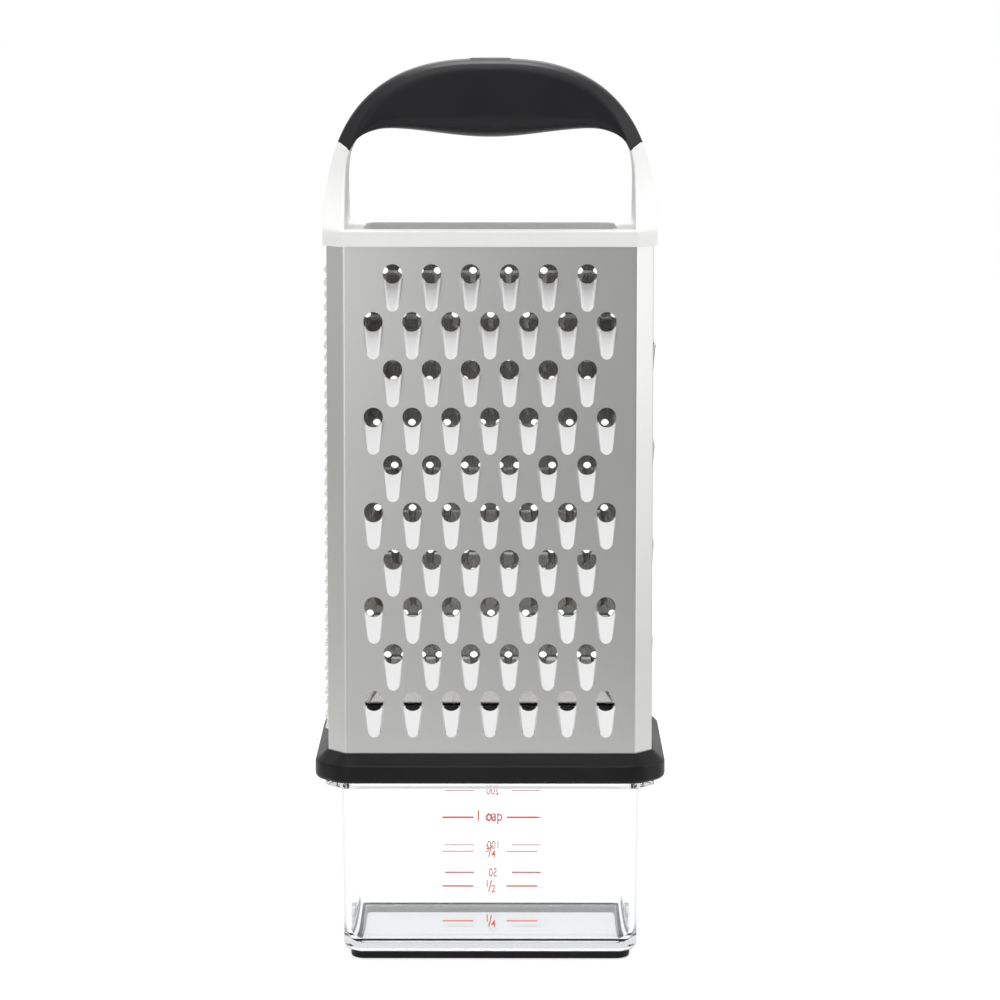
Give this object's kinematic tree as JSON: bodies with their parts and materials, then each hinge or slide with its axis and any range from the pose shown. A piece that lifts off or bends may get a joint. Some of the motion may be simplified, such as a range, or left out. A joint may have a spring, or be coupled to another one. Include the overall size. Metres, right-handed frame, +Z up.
{
  "type": "box grater",
  "caption": "Tapered four-sided stainless box grater with an arched soft-grip handle, standing on a clear measuring container that catches the food.",
  "frame": {"origin": "middle of the underside of the container's foot", "axes": "+Z up, +X across the wide faces, -Y out of the coarse side"},
  "size_m": [0.1144, 0.0796, 0.2951],
  "materials": {
    "stainless_steel": "bright stainless sheet, lightly brushed",
    "white_plastic": "smooth satin white moulding",
    "black_grip": "soft matt black grip",
    "black_frame": "matt black moulding",
    "black_foot": "matt non-slip rubber",
    "clear_plastic": "clear glossy moulding"
  },
  "bodies": {
    "catcher": {"container": "clear_plastic", "container_foot": "black_foot"},
    "grater": {"front_coarse_sheet": "stainless_steel", "back_medium_sheet": "stainless_steel", "left_fine_sheet": "stainless_steel", "right_slicing_sheet": "stainless_steel", "handle_frame": "white_plastic", "handle_grip": "black_grip", "base_frame": "black_frame", "foot_ring": "black_foot"}
  },
  "joints": [
    {"name": "lift_off", "type": "slide", "parent": "catcher", "child": "grater", "axis": [0, 0, 1], "range_m": [0, 0.09]}
  ]
}
